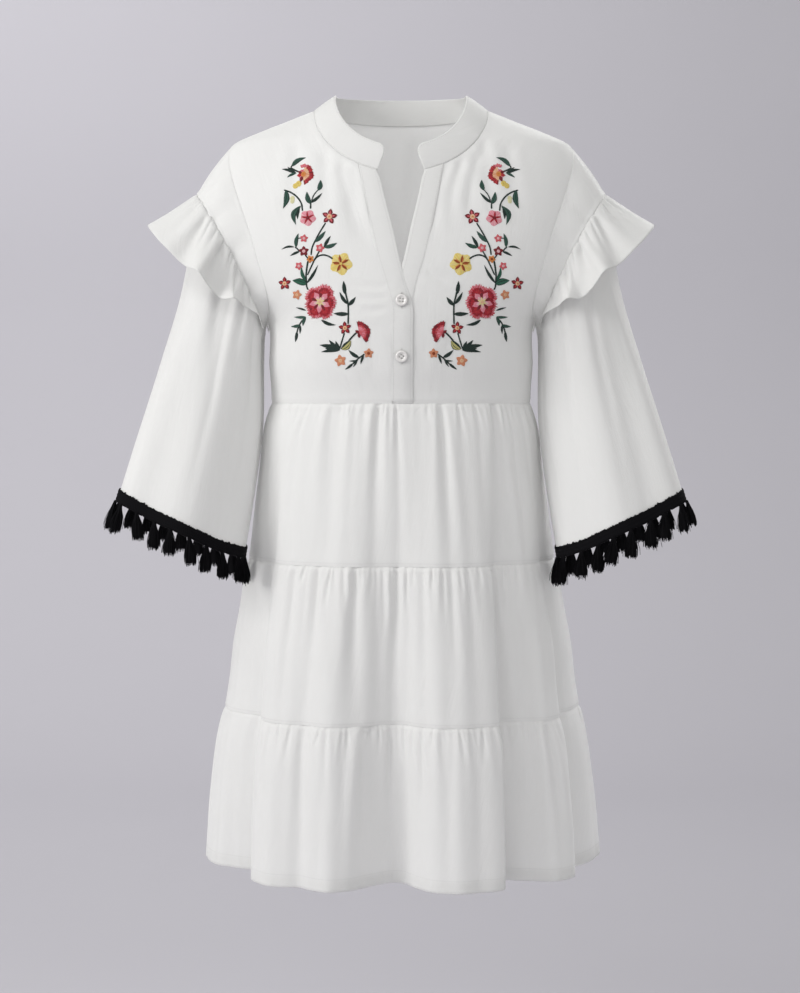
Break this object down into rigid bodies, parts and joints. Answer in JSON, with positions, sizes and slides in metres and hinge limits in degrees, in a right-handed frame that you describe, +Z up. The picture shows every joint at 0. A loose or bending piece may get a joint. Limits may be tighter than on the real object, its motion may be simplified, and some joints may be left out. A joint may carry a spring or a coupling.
{
  "type": "peasant dress",
  "caption": "Short white folk dress worn hollow: band collar, open V neck with buttons, bell sleeves with flounces and black tassel braid, gathered three-tier skirt.",
  "frame": {"origin": "on the neck's axis, level with the points where the shoulder seams meet the collar", "axes": "+Z up, -Y towards the dress's front, +X towards the wearer's left"},
  "size_m": [0.6646, 0.3173, 0.9035],
  "materials": {
    "cotton": "white cotton, matte",
    "braid": "black cotton yarn",
    "buttons": "pearly"
  },
  "bodies": {
    "root": {"collar": "cotton", "placket_right": "cotton", "placket_left": "cotton", "front_right": "cotton", "front_left": "cotton", "back": "cotton", "sleeve_cap_right": "cotton", "sleeve_cap_left": "cotton", "sleeve_flounce_right": "cotton", "sleeve_flounce_left": "cotton", "sleeve_right": "cotton", "sleeve_left": "cotton", "skirt_tier_1_front": "cotton", "skirt_tier_1_back": "cotton", "skirt_tier_2_front": "cotton", "skirt_tier_2_back": "cotton", "skirt_tier_3_front": "cotton", "skirt_tier_3_back": "cotton", "cuff_trim_right": "braid", "cuff_trim_left": "braid", "button_1": "buttons", "button_2": "buttons"}
  },
  "joints": []
}
